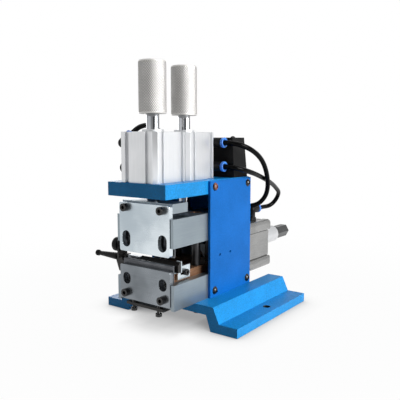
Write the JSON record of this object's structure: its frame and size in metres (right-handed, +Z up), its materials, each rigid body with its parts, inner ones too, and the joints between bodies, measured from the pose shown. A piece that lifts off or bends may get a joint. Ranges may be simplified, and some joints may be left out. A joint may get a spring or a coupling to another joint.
{
  "type": "wire stripping crimping machine",
  "caption": "Pneumatic bench machine: one press clamps a wire between plates, a second closes two blades on it and a rear cylinder pulls the knife carriage back to strip it.",
  "frame": {"origin": "on the floor, midway between the two bench bolt holes", "axes": "+X to the right side, +Y to the strip cylinder at the rear, +Z up"},
  "size_m": [0.1916, 0.3332, 0.2895],
  "materials": {
    "anodised_aluminium": "satin anodised",
    "black_plastic": "moulded",
    "black_screw": "black oxide",
    "black_steel": "black oxide",
    "blade_steel": "hardened",
    "blue_paint": "smooth gloss enamel",
    "blue_plastic": "moulded",
    "bronze": "machined bronze",
    "chrome_rod": "hard chrome",
    "ground_steel": "surface ground",
    "hose_plastic": "polyurethane tube",
    "knurled_steel": "diamond knurl",
    "plate_steel": "polished",
    "spring_steel": "spring steel"
  },
  "bodies": {
    "frame": {"air_inlet": "black_plastic", "base_plate": "blue_paint", "button_screws": "black_screw", "clamp_barrel": "anodised_aluminium", "control_valve": "anodised_aluminium", "cylinder_bolts": "black_screw", "frame_screws": "black_screw", "height_bar": "black_steel", "height_screws": "black_screw", "hose_clamp_bottom": "hose_plastic", "hose_clamp_top": "hose_plastic", "hose_collets": "blue_plastic", "hose_elbows": "black_plastic", "hose_knife_bottom": "hose_plastic", "hose_knife_top": "hose_plastic", "knife_barrel": "anodised_aluminium", "left_cover": "blue_paint", "lower_block": "ground_steel", "lower_clamp_plate": "plate_steel", "rear_wall": "blue_paint", "right_cover": "blue_paint", "rod_glands": "anodised_aluminium", "snap_rings": "spring_steel", "stop_lock_nut": "ground_steel", "stop_sleeve": "anodised_aluminium", "strip_barrel": "anodised_aluminium", "strip_rear_cap": "anodised_aluminium", "top_plate": "blue_paint", "valve_cover": "black_plastic"},
    "clamp_plunger": {"clamp_rod": "chrome_rod", "clamp_piston": "anodised_aluminium", "clamp_block": "ground_steel", "upper_clamp_plate": "plate_steel", "upper_plate_screws": "black_screw"},
    "clamp_knob": {"clamp_knob": "knurled_steel"},
    "knife_plunger": {"knife_rod": "chrome_rod", "knife_piston": "anodised_aluminium"},
    "knife_knob": {"knife_knob": "knurled_steel"},
    "carriage": {"bronze_slide": "bronze", "guide_posts": "chrome_rod", "lower_blade": "blade_steel", "lower_blade_screws": "black_screw", "crosshead": "ground_steel", "carriage_screws": "black_screw", "strip_rod": "chrome_rod", "strip_piston": "anodised_aluminium"},
    "knife_arm": {"knife_arm": "ground_steel", "guide_bushes": "bronze", "upper_blade": "blade_steel", "upper_blade_screws": "black_screw"},
    "wire_stop": {"stop_carrier": "ground_steel", "stop_bar": "black_steel", "gauge_block": "ground_steel", "left_bracket": "ground_steel", "right_guide": "ground_steel", "guide_screw": "black_screw", "stop_handle": "black_plastic"},
    "stop_lock_knob": {"stop_lock_knob": "black_plastic"},
    "stroke_bolt": {"stroke_bolt": "ground_steel"}
  },
  "joints": [
    {"name": "clamp_press", "type": "slide", "parent": "frame", "child": "clamp_plunger", "axis": [0, 0, -1], "range_m": [0, 0.0145]},
    {"name": "clamp_knob_turn", "type": "hinge", "parent": "clamp_plunger", "child": "clamp_knob", "pos_m": [0, -0.105, 0.25], "axis": [0, 0, 1], "continuous": true},
    {"name": "knife_press", "type": "slide", "parent": "frame", "child": "knife_plunger", "axis": [0, 0, -1], "range_m": [0, 0.0145]},
    {"name": "knife_knob_turn", "type": "hinge", "parent": "knife_plunger", "child": "knife_knob", "pos_m": [0, -0.051, 0.25], "axis": [0, 0, 1], "continuous": true},
    {"name": "strip_pull", "type": "slide", "parent": "frame", "child": "carriage", "axis": [0, 1, 0], "range_m": [0, 0.02]},
    {"name": "arm_press", "type": "slide", "parent": "carriage", "child": "knife_arm", "axis": [0, 0, -1], "range_m": [0, 0.0145]},
    {"name": "stop_shift", "type": "slide", "parent": "carriage", "child": "wire_stop", "axis": [0, 1, 0], "range_m": [0, 0.018]},
    {"name": "stop_lock_turn", "type": "hinge", "parent": "wire_stop", "child": "stop_lock_knob", "pos_m": [-0.048, -0.112, 0.088], "axis": [-1, 0, 0], "continuous": true},
    {"name": "stroke_bolt_turn", "type": "hinge", "parent": "frame", "child": "stroke_bolt", "pos_m": [0, 0.18, 0.0655], "axis": [0, 1, 0], "continuous": true}
  ],
  "couplings": [
    {"joint": "arm_press", "follows": "knife_press", "ratio": 1}
  ]
}
